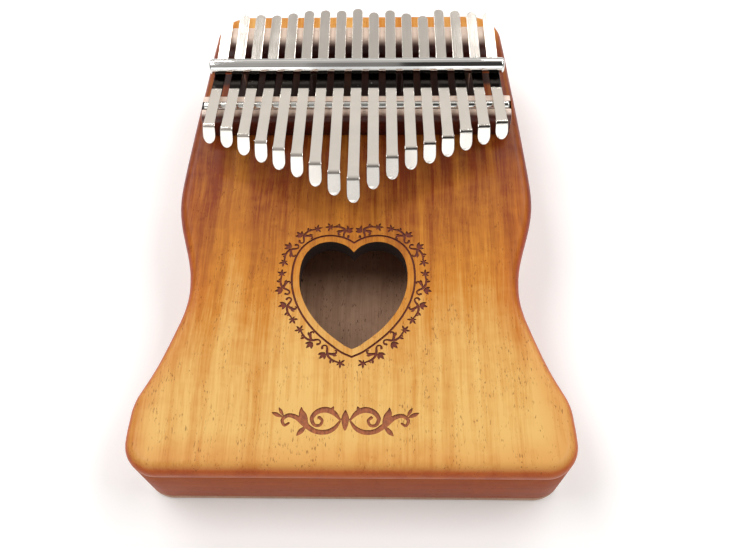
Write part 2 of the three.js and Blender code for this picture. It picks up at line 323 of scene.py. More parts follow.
def wood(name, dark, mid, light, grain="Y", streak=0.5, pore=0.6, rough=0.38, coat=0.25, coat_rough=0.2,
         tone_and_shade_along_y=None, turned_face_shade=None, seed=0.0, bump=0.25, figure=0.12, board=None, crest_highlight=None):
    """Lacquered wood: broad streaks, fibres, pores and a ripple figure along one axis."""
    w = Mat(name)
    along = {"X": (0.035, 1, 1), "Y": (1, 0.035, 1), "Z": (1, 1, 0.035)}[grain]
    s = lambda k, a=1.0: tuple(k * (c if c == 1 else c * a) for c in along)
    loc = (seed, seed * 1.7, seed * 0.6)
    warp = w.noise(w.map((14, 14, 14), loc=loc), 1.0, 2)
    # the grain wanders a little sideways
    add = w.t.nodes.new("ShaderNodeVectorMath")
    add.operation = "MULTIPLY_ADD"
    off = w.t.nodes.new("ShaderNodeCombineXYZ")
    for i in range(3):
        w.t.links.new(warp, off.inputs[i])
    w.t.links.new(off.outputs[0], add.inputs[0])
    add.inputs[1].default_value = tuple(0.006 if c == 1 else 0.0 for c in along)
    w.t.links.new(w.coord, add.inputs[2])
    src = add.outputs[0]
    broad = w.noise(w.map(s(95), loc=loc, src=src), 1.0, 4, 0.6, 0.15)
    band = w.noise(w.map(s(320, 1.3), loc=loc, src=src), 1.0, 3, 0.6, 0.1)
    fibre = w.noise(w.map(s(1700, 0.9), loc=loc, src=src), 1.0, 3, 0.65)
    pores = w.noise(w.map(s(2900, 6.5), loc=loc, src=src), 1.0, 1, 0.4)
    fleck = w.rng(pores, 0.63, 0.71, smooth=True)
    where = w.rng(w.noise(w.map(s(300, 9), loc=(seed + 3, 0, 0), src=src), 1.0, 2), 0.42, 0.60, smooth=True)
    fleck = w.math("MULTIPLY", fleck, where)
    ripple = w.noise(w.map(tuple(170 if c == 1 else 260 for c in along), loc=loc, src=src), 1.0, 2, 0.5, 0.6)
    t = w.math("ADD", w.math("MULTIPLY", w.math("SUBTRACT", broad, 0.5), 1.9 * streak),
               w.math("MULTIPLY", w.math("SUBTRACT", band, 0.5), 0.9 * streak))
    t = w.math("ADD", t, w.math("MULTIPLY", w.math("SUBTRACT", fibre, 0.5), 0.55))
    t = w.math("ADD", t, w.math("MULTIPLY", w.math("SUBTRACT", ripple, 0.5), figure * 2))
    t = w.math("ADD", t, 0.5)
    if tone_and_shade_along_y:
        y0, y1, amount = tone_and_shade_along_y
        # lighter towards the tail and darker towards the head: partly the plank's own tone, partly painted light on the
        # tail and painted shade under the tines; the strip past the rear bridge, clear of that shade, is lightened
        # again
        y = w.xyz()[1]
        drift = w.math("ADD", y, w.math("MULTIPLY", w.math("SUBTRACT", broad, 0.5), 0.03))
        t = w.math("ADD", t, w.rng(drift, y0, y1, amount, -amount, smooth=True))
        t = w.math("ADD", t, w.rng(y, 0.070, 0.086, 0.0, 0.55, smooth=True))
    colour = w.ramp(t, [(0.0, dark), (0.5, mid), (1.0, light)])
    if turned_face_shade:
        # painted shade: faces turned away from straight up, the roundover and the board's sides, are multiplied towards
        # orange-brown
        n = w.normal()
        up = w.math("ABSOLUTE", n[2])
        ends = w.rng(up, 0.55, 0.97, 1.0, 0.0, smooth=True)
        colour = w.mix(w.math("MULTIPLY", ends, turned_face_shade[1]), colour, turned_face_shade[0], "MULTIPLY")
    if crest_highlight:
        # painted highlight: where the surface faces up and back, the bar's colour is lightened towards a pale pinkish
        # white that stands in for the gloss reflection of the lights
        n = w.normal()
        painted_highlight_mask = w.rng(w.math("ADD", n[2], w.math("MULTIPLY", n[1], 0.35)), 0.42, 0.97, smooth=True)
        painted_highlight_mask = w.math("MULTIPLY", painted_highlight_mask, w.rng(broad, 0.3, 0.6, 0.78, 1.0))
        colour = w.mix(painted_highlight_mask, colour, crest_highlight)
    if board:
        rim_tone, trough_shade_tone = board
        x, y, _ = w.xyz()
        ax = w.math("ABSOLUTE", x)
        half = w.curve(y, HALF_WIDTH, -0.0925, 0.0925)
        inside = w.math("SUBTRACT", w.math("MULTIPLY", half, 0.1), ax)
        inside = w.math("MINIMUM", inside, w.math("ADD", y, 0.0925))
        inside = w.math("MINIMUM", inside, w.math("SUBTRACT", 0.0925, y))
        wander = w.math("MULTIPLY", w.math("SUBTRACT", w.noise(w.map((45, 45, 45)), 1.0, 3), 0.5), 0.010)
        inside = w.math("ADD", inside, wander)
        near = w.rng(inside, 0.0015, 0.0125, 1.0, 0.0, smooth=True)
        near = w.math("MULTIPLY", near, w.rng(y, 0.010, 0.055, 0.45, 0.2, smooth=True))
        colour = w.mix(near, colour, rim_tone, "MULTIPLY")
        # painted shade: the soundboard between the bridges, under the tines and the pressure rod, is darkened to near
        # black
        strip = w.math("MULTIPLY", w.rng(ax, 0.0455, 0.0475, 1.0, 0.0, smooth=True),
                       w.math("MULTIPLY", w.rng(y, 0.0405, 0.0415, smooth=True), w.rng(y, 0.0645, 0.0655, 1.0, 0.0, smooth=True)))
        far = w.math("MULTIPLY", w.rng(ax, 0.0505, 0.0525, 1.0, 0.0, smooth=True),
                     w.math("MULTIPLY", w.rng(y, 0.053, 0.056, smooth=True), w.rng(y, 0.0645, 0.0655, 1.0, 0.0, smooth=True)))
        colour = w.mix(w.math("MULTIPLY", w.math("MAXIMUM", strip, far), 0.94), colour, trough_shade_tone)
    colour = w.mix(w.math("MULTIPLY", fleck, pore), colour, lin(dark, 0.5))
    h = w.math("SUBTRACT", w.math("MULTIPLY", fibre, 0.5), w.math("MULTIPLY", fleck, 0.9))
    w.bump(h, bump, 0.00008)
    w.set(Base_Color=colour, Roughness=w.rng(w.math("ADD", fibre, fleck), 0.3, 1.4, rough - 0.05, rough + 0.2))
    w.b.inputs["Coat Weight"].default_value = coat
    w.b.inputs["Coat Roughness"].default_value = coat_rough
    w.b.inputs["Specular IOR Level"].default_value = 0.4
    return w.m


# half the width of the body, in tenths of a metre, against the distance along it
HALF_WIDTH = [(-0.0925, 0.64), (-0.0796, 0.6745), (-0.069, 0.6595), (-0.0592, 0.614), (-0.049, 0.5775), (-0.034, 0.5415),
              (-0.0245, 0.548), (-0.0125, 0.58), (0.005, 0.6135), (0.0205, 0.607), (0.049, 0.586), (0.0755, 0.5645),
              (0.0925, 0.53)]

MAT = {}
# the soundboard colour is partly painted light and painted shade along its length
MAT["board"] = wood("soundboard_wood", srgb(130, 54, 14), srgb(197, 126, 42), srgb(227, 182, 106), "Y", streak=0.64,
                    # the board colour carries painted shade on its roundover and sides
                    pore=0.55, rough=0.42, coat=0.06, tone_and_shade_along_y=(-0.085, 0.03, 0.42), turned_face_shade=(srgb(228, 142, 74), 0.9),
                    # the second tone is painted shade for the trough between the bridges
                    board=(srgb(230, 170, 116), (0.016, 0.005, 0.004)))
MAT["side"] = wood("rim_wood", srgb(112, 38, 6), srgb(166, 72, 12), srgb(196, 102, 28), "X", streak=0.4, pore=0.4,
                   rough=0.5, coat=0.03, seed=4.0)
MAT["side_y"] = wood("rim_wood_long", srgb(112, 38, 6), srgb(166, 72, 12), srgb(196, 102, 28), "Y", streak=0.4, pore=0.4,
                     rough=0.5, coat=0.03, seed=7.0)
MAT["back"] = wood("back_wood", srgb(128, 88, 66), srgb(196, 154, 124), srgb(226, 190, 160), "Y", streak=0.3, pore=0.8,
                   rough=0.55, coat=0.05, seed=11.0)
MAT["inner"] = wood("brace_wood", srgb(120, 82, 50), srgb(168, 124, 80), srgb(198, 158, 110), "X", streak=0.3,
                    rough=0.7, coat=0.0, seed=15.0)
# the bridge wood carries a painted highlight on its crests
MAT["bridge"] = wood("bridge_wood", srgb(44, 12, 8), srgb(86, 28, 18), srgb(120, 48, 30), "X", streak=0.4, pore=0.5,
                     rough=0.4, coat=0.6, coat_rough=0.27, seed=21.0, bump=0.1, crest_highlight=srgb(240, 216, 198))
for key, level in (("side", 0.12), ("side_y", 0.12), ("board", 0.16)):
    MAT[key].node_tree.nodes["Principled BSDF"].inputs["Specular IOR Level"].default_value = level


def charred(name, deep, pale, rough=0.75):
    w = Mat(name)
    a = w.noise(w.map((900, 900, 500)), 1.0, 4, 0.65)
    b = w.noise(w.map((2400, 160, 900)), 1.0, 2)
    t = w.math("ADD", w.math("MULTIPLY", a, 0.6), w.math("MULTIPLY", b, 0.4))
    w.bump(a, 0.4, 0.00008)
    return w.set(Base_Color=w.ramp(t, [(0.3, deep), (0.7, pale)]), Roughness=w.rng(a, 0.3, 0.7, rough - 0.1, rough + 0.1))


MAT["burnt_hole"] = charred("charred_edge", srgb(20, 10, 7), srgb(52, 26, 16))
MAT["burnt_line"] = charred("burnt_line", srgb(78, 24, 10), srgb(122, 46, 20))
MAT["burnt_mark"] = charred("burnt_mark", srgb(104, 46, 22), srgb(186, 108, 64))


def steel(name, tint, rough, spread=0.05, scratch=(1400, 60, 1400), strength=0.03, aniso=0.0, smudge=0.08, rod_reflection_zone=None):
    w = Mat(name)
    s = w.noise(w.map(scratch), 1.0, 3, 0.6)
    f = w.noise(w.map((90, 90, 90)), 1.0, 3, 0.5)
    g = w.noise(w.map((5200, 700, 5200)), 1.0, 2, 0.5)
    colour = w.mix(w.rng(f, 0.35, 0.7), tint, lin(tint, 1 - smudge))
    if rod_reflection_zone:
        # painted reflection: in front of the pressure rod each tine's steel is darkened to near black, standing in for
        # the rod's dark mirror image; small spots left at the steel colour are painted glints
        y = w.xyz()[1]
        y = w.math("ADD", y, w.math("MULTIPLY", w.math("SUBTRACT", f, 0.5), 0.0006))
        y0, y1 = rod_reflection_zone
        rod_reflection_mask = w.math("MULTIPLY", w.rng(y, y0, y0 + 0.0004, smooth=True), w.rng(y, y1, y1 + 0.0015, 1.0, 0.0, smooth=True))
        glint_spot = w.rng(w.voronoi(w.map((230, 230, 230)), 1.0), 0.07, 0.10, 1.0, 0.0, smooth=True)
        rod_reflection_mask = w.math("MULTIPLY", rod_reflection_mask, w.math("SUBTRACT", 1.0, w.math("MULTIPLY", glint_spot, 0.6)))
        colour = w.mix(w.math("MULTIPLY", rod_reflection_mask, 0.97), colour, (0.012, 0.008, 0.006))
    r = w.math("ADD", w.rng(s, 0.3, 0.7, rough, rough + spread), w.rng(f, 0.45, 0.7, 0.0, spread * 0.8))
    w.bump(w.math("ADD", s, w.math("MULTIPLY", g, 0.5)), strength, 0.00002)
    m = w.set(Base_Color=colour, Roughness=r)
    w.b.inputs["Metallic"].default_value = 1.0
    w.b.inputs["Anisotropic"].default_value = aniso
    return m


# the tine steel carries a painted reflection of the pressure rod, with painted glints
MAT["tine"] = steel("tine_steel", srgb(232, 226, 218), 0.10, 0.07, (1500, 60, 1500), 0.05, rod_reflection_zone=(0.0427, 0.0535))
MAT["rod"] = steel("rod_steel", srgb(226, 226, 222), 0.12, 0.05, (40, 1600, 1600), 0.04)
MAT["chrome"] = steel("rod_chrome", srgb(238, 238, 236), 0.05, 0.03, (30, 900, 900), 0.02)
MAT["screw"] = steel("fastener_steel", srgb(200, 198, 190), 0.28, 0.1, (900, 900, 200), 0.1)

# =====================================================================
# plan outlines
# =====================================================================
SIDE = [
    (56.45, 75.5), (57.1, 68), (57.8, 58.5), (58.6, 49), (59.4, 39), (60.0, 30.5),
    (60.7, 20.5), (61.25, 11), (61.35, 5), (60.9, -0.5), (59.7, -6.5), (58.0, -12.5),
    (56.2, -18.5), (54.8, -24.5), (54.2, -30), (54.15, -34), (54.7, -38.3),
    (55.55, -42), (56.65, -45.5), (57.75, -49), (58.9, -52.4), (60.1, -55.8),
    (61.4, -59.2), (62.85, -62.5), (64.45, -65.8), (65.95, -69), (66.85, -72.3),
    (67.2, -76), (67.45, -79.6),
]
HEART = [
    (0, -18.4), (1.9, -16.4), (4.6, -14.95), (8.1, -14.35), (11.6, -15.1),
    (14.6, -17.2), (16.5, -20.1), (17.4, -23.2), (17.75, -27), (17.55, -30.8),
    (17.0, -33.5), (16.2, -36), (15.1, -38.5), (13.7, -41), (12.0, -43.4),
    (9.9, -45.9), (7.4, -48.3), (4.5, -50.7), (1.9, -52.6), (0, -53.5),
]


def body_outline(step=0.9):
    h = 92.5
    head = arc(56.0 - 12.6, h - 12.6, 12.6, 90, 1, 28)
    tail = arc(67.5 - 10, -h + 10, 10, 0, -90, 26)
    side = catmull([tuple(head[-1])] + SIDE + [tuple(tail[0])], step)
    right = np.concatenate([head, side[1:-1], tail])
    left = right * np.array([-1, 1])
    return np.concatenate([right[::-1], left])


OUTLINE = body_outline()
heart_right = catmull(HEART, 0.7)
HEART_LOOP = np.concatenate([heart_right[::-1], (heart_right * np.array([-1, 1]))[1:-1]])


def offset_open(pts, d):
    """Open line moved to its left by d (pts run from notch to point on the +X side, outside is on the left)."""
    t = np.gradient(pts, axis=0)
    t /= np.linalg.norm(t, axis=1)[:, None]
    return pts + d * np.stack([-t[:, 1], t[:, 0]], 1)


def heart_at(d, step=0.6):
    """Closed heart loop a distance d outside the hole, with its notch and point on the axis."""
    o = offset_open(heart_right, d)
    keep = o[o[:, 0] > 0.05]
    # on the axis: where the offset sides meet
    top, bot = keep[0], keep[-1]
    s0 = (keep[2] - keep[0]) / (keep[2][0] - keep[0][0])
    s1 = (keep[-1] - keep[-3]) / (keep[-1][0] - keep[-3][0])
    a = top - s0 * top[0]
    b = bot - s1 * bot[0]
    right = np.concatenate([[a], keep, [b]])
    return np.concatenate([right[::-1], (right * np.array([-1, 1]))[1:-1]]), right


# =====================================================================
# brush-stroke ornament: union of discs along strokes, outlined on a grid
# =====================================================================

def contour(strokes, cell=0.06, pad=0.4, warp=None):
    """strokes: list of lists of (u, v, r). Returns groups of loops of the union's outline."""
    discs = []
    for st in strokes:
        c = catmull([(a, b, r) for a, b, r in st], 0.08)
        discs.append(c)
    d = np.concatenate(discs)
    lo, hi = d[:, :2].min(0) - d[:, 2].max() - pad, d[:, :2].max(0) + d[:, 2].max() + pad
    nx, ny = (np.ceil((hi - lo) / cell)).astype(int) + 1
    X = lo[0] + np.arange(nx) * cell
    Y = lo[1] + np.arange(ny) * cell
    F = np.full((nx, ny), 9.0)
    for u, v, r in d:
        i0, i1 = np.searchsorted(X, [u - r - 0.5, u + r + 0.5])
        j0, j1 = np.searchsorted(Y, [v - r - 0.5, v + r + 0.5])
        sub = np.hypot(X[i0:i1, None] - u, Y[None, j0:j1] - v) - max(r, 0.02)
        F[i0:i1, j0:j1] = np.minimum(F[i0:i1, j0:j1], sub)
    # marching squares
    segs = {}

    def cut(i, j, k, l):
        a, b = F[i, j], F[k, l]
        t = a / (a - b)
        key = (i, j, k, l) if (i, j) < (k, l) else (k, l, i, j)
        p = (X[i] + (X[k] - X[i]) * t, Y[j] + (Y[l] - Y[j]) * t)
        return key, p

    pts = {}
    inside = F < 0
    cells = np.argwhere(
        (inside[:-1, :-1].astype(int) + inside[1:, :-1] + inside[:-1, 1:] + inside[1:, 1:]) % 4 != 0)
    for i, j in cells:
        c = [(i, j), (i + 1, j), (i + 1, j + 1), (i, j + 1)]
        ins = [inside[q] for q in c]
        cross = []
        for k in range(4):
            if ins[k] != ins[(k + 1) % 4]:
                key, p = cut(*c[k], *c[(k + 1) % 4])
                pts[key] = p
                cross.append((key, ins[k]))
        # an edge that leaves the inside starts a segment, one that enters ends it
        outs = [q for q, w in cross if w]
        inns = [q for q, w in cross if not w]
        for a, b in zip(outs, inns):
            segs[a] = b
    loops = []
    while segs:
        a, b = segs.popitem()
        loop = [a]
        while b != a and b in segs:
            loop.append(b)
            b = segs.pop(b)
        if len(loop) > 8:
            L = np.array([pts[k] for k in loop])
            for _ in range(2):  # light smoothing of the grid steps
                L = 0.5 * L + 0.25 * (np.roll(L, 1, 0) + np.roll(L, -1, 0))
            L = L[::2] if len(L) > 24 else L
            loops.append(L)
    area = lambda L: 0.5 * np.sum(L[:, 0] * np.roll(L[:, 1], -1) - np.roll(L[:, 0], -1) * L[:, 1])
    sizes = [area(L) for L in loops]
    big = max(sizes, key=abs)
    outer = [L for L, s in zip(loops, sizes) if s * big > 0 and abs(s) > 0.05]
    holes = [L for L, s in zip(loops, sizes) if s * big < 0 and abs(s) > 0.03]

    def within(p, L):
        x, y = p
        a, b = L, np.roll(L, -1, 0)
        c = ((a[:, 1] > y) != (b[:, 1] > y))
        with np.errstate(divide="ignore", invalid="ignore"):
            xi = a[:, 0] + (y - a[:, 1]) * (b[:, 0] - a[:, 0]) / (b[:, 1] - a[:, 1])
        return bool(np.sum(c & (x < xi)) % 2)

    return [[o] + [h for h in holes if within(h[0], o)] for o in outer]


def petal(u, v, angle, length, width, tip=0.04):
    a = math.radians(angle)
    c, s = math.cos(a), math.sin(a)
    return [(u + c * length * k, v + s * length * k, width * w)
            for k, w in ((0.0, 0.35), (0.3, 0.85), (0.55, 1.0), (0.8, 0.6), (1.0, tip / width))]


SPRIG = [
    # stem with a hook at its start
    [(0.55, -0.35, 0.30), (0.25, -0.75, 0.24), (0.45, -1.25, 0.20), (1.05, -1.45, 0.20), (1.7, -1.05, 0.24),
     (2.3, -0.35, 0.29), (3.1, 0.25, 0.30), (4.3, 0.55, 0.26), (5.5, 0.5, 0.22), (6.6, 0.35, 0.20), (7.4, 0.3, 0.18)],
    # three-petal bloom
    petal(1.95, 0.2, 128, 1.75, 0.36), petal(2.05, 0.3, 92, 1.95, 0.38), petal(2.2, 0.3, 55, 1.6, 0.34),
    # curled leaf on the inner side
    [(2.6, -0.1, 0.2), (3.3, -0.35, 0.30), (4.0, -0.75, 0.34), (4.5, -1.3, 0.27), (4.35, -1.85, 0.18), (3.85, -1.8, 0.15)],
    [(3.9, -0.6, 0.2), (4.6, -0.65, 0.24), (5.15, -1.0, 0.08)],
    # bud on the outer side
    petal(4.5, 0.6, 62, 1.15, 0.28), petal(5.6, 0.45, 118, 0.75, 0.2),
    # spray of leaves at the far end
    petal(7.2, 0.3, 4, 1.5, 0.27), petal(7.2, 0.35, 62, 1.35, 0.26), petal(7.2, 0.25, -58, 1.35, 0.26),
    petal(7.05, 0.35, 118, 0.95, 0.2), petal(7.05, 0.25, -122, 0.85, 0.18),
]

FLOURISH = [
    # rising scroll
    [(1.6, 0.0, 0.20), (3.4, 1.5, 0.50), (6.0, 2.3, 0.62), (8.8, 1.7, 0.52), (10.2, 0.2, 0.42), (9.3, -1.3, 0.34),
     (7.7, -1.35, 0.30), (7.0, -0.25, 0.28), (7.9, 0.45, 0.34)],
    # falling scroll
    [(1.6, -0.4, 0.20), (3.2, -2.0, 0.42), (5.6, -2.9, 0.5), (9.0, -2.75, 0.5), (12.2, -1.2, 0.55), (15.0, 0.5, 0.5),
     (17.6, 0.9, 0.42), (19.2, -0.2, 0.34), (18.4, -1.4, 0.28), (17.2, -0.9, 0.24)],
    petal(11.6, -1.2, 62, 4.2, 0.62), petal(13.4, -0.3, 88, 3.2, 0.5), petal(12.0, -1.7, -38, 3.4, 0.5),
    petal(19.4, 0.6, 18, 3.3, 0.42), petal(19.0, 0.9, 52, 2.4, 0.34), petal(4.4, 1.7, 118, 1.6, 0.34),
]
DIAMOND = [petal(0, -2.0, 90, 4.0, 0.75), [(-1.15, 0, 0.08), (-0.5, 0, 0.4), (0, 0, 0.6), (0.5, 0, 0.4), (1.15, 0, 0.08)]]

# path of the sprigs, on the +X side from above the notch to below the point
ring_loop, _ = heart_at(2.3)
_, path_right = heart_at(5.35)
cut_in = path_right[:, 0] > 3.4
lead = catmull([(0.2, -13.0), (1.6, -11.9), tuple(path_right[cut_in][0])], 0.6)
PATH = catmull([tuple(p) for p in np.concatenate([lead[:-1], path_right[cut_in]])[::2]] + [tuple(path_right[-1])], 0.25)
path_s = np.concatenate([[0], np.cumsum(np.linalg.norm(np.diff(PATH, axis=0), axis=1))])
path_t = np.gradient(PATH, axis=0)
path_t /= np.linalg.norm(path_t, axis=1)[:, None]


def on_path(s, v):
    x = np.interp(s, path_s, PATH[:, 0])
    y = np.interp(s, path_s, PATH[:, 1])
    tx = np.interp(s, path_s, path_t[:, 0])
    ty = np.interp(s, path_s, path_t[:, 1])
    l = np.hypot(tx, ty)
    return np.stack([x - v * ty / l, y + v * tx / l], -1)


L_SPRIG = 8.75
n_sprigs = 7
span = (path_s[-1] - 1.4 - 0.9) / n_sprigs
strokes = []
for k in range(n_sprigs):
    s0 = 1.2 + k * span
    scale = (span - 0.8) / L_SPRIG
    for st in SPRIG:
        u = np.array([a for a, _, _ in st]) * scale
        v = np.array([b for _, b, _ in st]) * scale * 1.12
        r = [c * scale * 1.2 for _, _, c in st]
        if k % 2:
            u = (span - 0.8) - u
        xy = on_path(s0 + u, v)
        for side in (1, -1):
            strokes.append([(side * x, y, q) for (x, y), q in zip(xy, r)])
ornament = contour(strokes)

strokes = []
for st in FLOURISH:
    for side in (1, -1):
        strokes.append([(side * u * 0.98 - 1.5, v * 1.32 - 76.3, r * 1.5) for u, v, r in st])
for st in DIAMOND:
    strokes.append([(u * 1.2 - 1.5, v * 1.5 - 76.3, r * 1.5) for u, v, r in st])
flourish = contour(strokes)

# =====================================================================
# sound box
# =====================================================================
R = 4.0
rings = [(offset(OUTLINE, 0.25), 26.2), (offset(OUTLINE, 0.06), 26.26), (OUTLINE, 26.42), (OUTLINE, 28.0)]
for k in range(1, 11):
    a = math.radians(9 * k)
    rings.append((offset(OUTLINE, R * (1 - math.cos(a))), 28.0 + R * math.sin(a)))
rings.append((offset(OUTLINE, R + 0.5), 32.0))
board = stack_solid("soundboard_panel", rings)
board.data.materials.append(MAT["board"])


def cutter(name, groups, z0, z1, material):
    ob = prism(name, groups, z0, z1)
    ob.data.materials.append(material)
    return ob


carve(board, cutter("cut_hole", [[HEART_LOOP]], 20.0, 36.0, MAT["burnt_hole"]))
inner_ring, outer_ring = heart_at(2.06)[0], heart_at(2.74)[0]
carve(board, cutter("cut_ring", [[outer_ring, inner_ring]], FACE_Z - 0.45, 36.0, MAT["burnt_line"]))
carve(board, cutter("cut_ornament", ornament, FACE_Z - 0.35, 36.0, MAT["burnt_line"]))
carve(board, cutter("cut_flourish", flourish, FACE_Z - 0.4, 36.0, MAT["burnt_mark"]))
tidy(board, 40)
finish_piece(board, ROOT, "soundboard_wood", "soundboard")

WALL = 8.5
INNER = offset(OUTLINE, WALL)
n_out = len(OUTLINE)


def rim_piece(name, keep, material, node):
    """One rail: the part of the rim whose outline points are kept, with small eased edges."""
    idx = [i for i in range(n_out) if keep(OUTLINE[i])]
    # longest run of kept points, wrapped
    start = next(i for i in idx if (i - 1) % n_out not in set(idx))
    run = []
    i = start
    s = set(idx)
    while i in s and len(run) < n_out:
        run.append(i)
        i = (i + 1) % n_out
    prof = [(0.0, 4.1), (0.0, 25.85), (0.06, 25.98), (0.22, 26.06), (WALL, 26.06), (WALL, 3.86), (0.22, 3.86), (0.06, 3.94)]
    verts, faces = [], []
    # each end runs on to the glue line, halfway to the next rail, and leaves a hairline there
    before, after = (run[0] - 1) % n_out, (run[-1] + 1) % n_out
    spots = [(OUTLINE[i], INNER[i]) for i in run]
    half_way = lambda i, j: tuple(A[i] + (A[j] - A[i]) * 0.46 for A in (OUTLINE, INNER))
    spots = [half_way(run[0], before)] + spots + [half_way(run[-1], after)]
    for a, b in spots:
        d = (b - a) / np.linalg.norm(b - a)
        for q, z in prof:
            p = a + d * q
            verts.append((p[0], p[1], z))
    m = len(prof)
    count = len(verts) // m
    for k in range(count - 1):
        for j in range(m):
            l = (j + 1) % m
            faces.append((k * m + j, k * m + l, (k + 1) * m + l, (k + 1) * m + j))
    faces.append(tuple(range(m)))
    faces.append(tuple(reversed([(count - 1) * m + j for j in range(m)])))
    ob = new_object(name, verts, faces)
    ob.data.materials.append(material)
    tidy(ob, 30)
    return finish_piece(ob, ROOT, "side_wood", node)


rim_piece("tail_rail_wood", lambda p: p[1] < -80.4, MAT["side"], "tail_rail")
rim_piece("head_rail_wood", lambda p: p[1] > 78.4, MAT["side"], "head_rail")
rim_piece("right_rail_wood", lambda p: -80.6 < p[1] < 78.7 and p[0] > 0, MAT["side_y"], "right_rail")
rim_piece("left_rail_wood", lambda p: -80.6 < p[1] < 78.7 and p[0] < 0, MAT["side_y"], "left_rail")

rings = []
for k in range(0, 7):
    a = math.radians(15 * k)
    rings.append((offset(OUTLINE, 1.5 * (1 - math.sin(a))), 1.5 * (1 - math.cos(a))))
rings += [(OUTLINE, 3.55), (offset(OUTLINE, 0.06), 3.66), (offset(OUTLINE, 0.22), 3.74)]
back = stack_solid("back_board_panel", rings)
back.data.materials.append(MAT["back"])
tidy(back, 40)
finish_piece(back, ROOT, "back_wood", "back_board")

# =====================================================================
# bridges and rods
# =====================================================================

def bar_x(name, profile, half, ease, material, angle=30):
    """Bar along X from a (y, z) profile, with eased ends."""
    n = len(profile)
    P = np.array(profile, float)
    c = P.mean(0)
    inner = offset(P, ease)
    stations = [(-half, inner), (-half + ease * 0.3, offset(P, ease * 0.3)), (-half + ease, P), (half - ease, P),
                (half - ease * 0.3, offset(P, ease * 0.3)), (half, inner)]
    # split the long run so that the mesh has even faces
    mids = [(x, P) for x in np.linspace(-half + ease, half - ease, 16)[1:-1]]
    stations = stations[:3] + mids + stations[3:]
    verts, faces = [], []
    for x, q in stations:
        verts += [(x, p[0], p[1]) for p in q]
    for k in range(len(stations) - 1):
        for i in range(n):
            j = (i + 1) % n
            faces.append((k * n + i, k * n + j, (k + 1) * n + j, (k + 1) * n + i))
    faces.append(tuple(reversed(range(n))))
    faces.append(tuple((len(stations) - 1) * n + i for i in range(n)))
    ob = new_object(name, verts, faces)
    ob.data.materials.append(material)
    tidy(ob, angle)
    for face in ob.data.polygons:  # the sawn ends are flat
        if abs(face.normal.x) > 0.99:
            face.use_smooth = False
    return ob


def front_profile():
    y0, y1, top, rf, rb = 30.8, 41.2, 41.9, 3.3, 1.3
    gy, gz, gr = 36.3, 41.6, 1.68
    lip = math.degrees(math.asin((top - 0.12 - gz) / gr))
    pts = [(y0 + 0.1, 32.12), (y1 - 0.1, 32.12), (y1, 32.3)]
    pts += [tuple(p) for p in arc(y1 - rb, top - rb, rb, 0, 90, 8)]
    pts += [(gy + gr * math.cos(math.radians(lip)) + 0.15, top)]
    pts += [tuple(p) for p in arc(gy, gz, gr, lip, -180 - lip, 22)]
    pts += [(gy - gr * math.cos(math.radians(lip)) - 0.12, top - 0.06)]
    pts += [tuple(p) for p in arc(y0 + rf, top - 0.1 - rf, rf, 94, 180, 14)]
    pts += [(y0, 32.3)]
    return pts


fb = bar_x("front_bridge_wood", front_profile(), 54.9, 0.45, MAT["bridge"])
finish_piece(fb, ROOT, "bridge_wood", "front_bridge")


def rear_profile():
    y0, y1, top, rf, rb = 64.6, 75.4, 41.6, 6.2, 1.5
    pts = [(y0 + 0.1, 32.12), (y1 - 0.1, 32.12), (y1, 32.3)]
    pts += [tuple(p) for p in arc(y1 - rb, top - rb, rb, 0, 88, 8)]
    pts += [tuple(p) for p in arc(y0 + rf, top - rf, rf, 91, 180, 20)]
    pts += [(y0, 32.3)]
    return pts


rb = bar_x("rear_bridge_wood", rear_profile(), 50.2, 0.45, MAT["bridge"])
finish_piece(rb, ROOT, "bridge_wood", "rear_bridge")


def round_bar(name, y, z, r, half, dome, material, n=48):
    """Turned round bar along X with rounded ends."""
    prof = [(-half, 0.0)]
    for k in range(0, 9):
        a = math.radians(90 * k / 8)
        prof.append((-half + dome * (1 - math.sin(a)) if k else -half + dome * 1.0, 0))
    prof = []
    for k in range(0, 9):
        a = math.radians(90 * k / 8)
        prof.append((-half + dome * (1 - math.sin(a)), (r - dome) + dome * math.cos(a)))
    prof = prof[::-1]
    xs = [p[0] for p in prof]
    rs = [p[1] for p in prof]
    xs = xs + list(np.linspace(-half + dome, half - dome, 12)[1:-1]) + [-x for x in xs[::-1]]
    rs = rs + [r] * 10 + rs[::-1]
    verts, faces = [], []
    for x, q in zip(xs, rs):
        for i in range(n):
            a = 2 * math.pi * i / n
            verts.append((x, y + q * math.cos(a), z + q * math.sin(a)))
    for k in range(len(xs) - 1):
        for i in range(n):
            j = (i + 1) % n
            faces.append((k * n + i, k * n + j, (k + 1) * n + j, (k + 1) * n + i))
    faces.append(tuple(reversed(range(n))))
    faces.append(tuple((len(xs) - 1) * n + i for i in range(n)))
    ob = new_object(name, verts, faces)
    ob.data.materials.append(material)
    return tidy(ob, 50)


fr = round_bar("front_rod_steel", 36.3, 41.6, 1.5, 54.1, 0.45, MAT["rod"], 40)
finish_piece(fr, ROOT, "steel_rod", "front_bridge_rod")
pr = round_bar("pressure_rod_chrome", 51.6, 45.35, 2.75, 53.0, 1.1, MAT["chrome"], 64)
finish_piece(pr, ROOT, "chrome_rod", "pressure_rod")

# =====================================================================
# tines: one unbroken strip each, bending where the blade meets the shank
# =====================================================================
PITCH, FAN, ROD_Y = 6.27, math.radians(0.197), 36.3
PIVOT_Z, RISE, REAR, DIP = 43.4, 0.146, 0.047, 15.3
CREASE = [11.9, 13.6, 16.9, 20.1, 23.4, 26.3, 30.3, 34.3, 37.2, 31.4, 27.3, 23.3, 20.9, 18.0, 15.1, 12.7, 10.7]
TIP_LEN = [5.9, 6.2, 6.5, 6.7, 6.8, 7.2, 7.4, 7.4, 7.7, 7.5, 7.3, 6.9, 6.6, 6.4, 6.3, 6.0, 5.6]
HEAD = [43.0, 43.2, 43.3, 43.0, 44.0, 45.2, 45.4, 45.2, 46.1, 44.2, 45.2, 43.6, 42.3, 45.4, 44.8, 44.0, 43.6]
THICK, WIDE, TIPW = 1.0, 3.8, 4.3
DROP = math.radians(50)


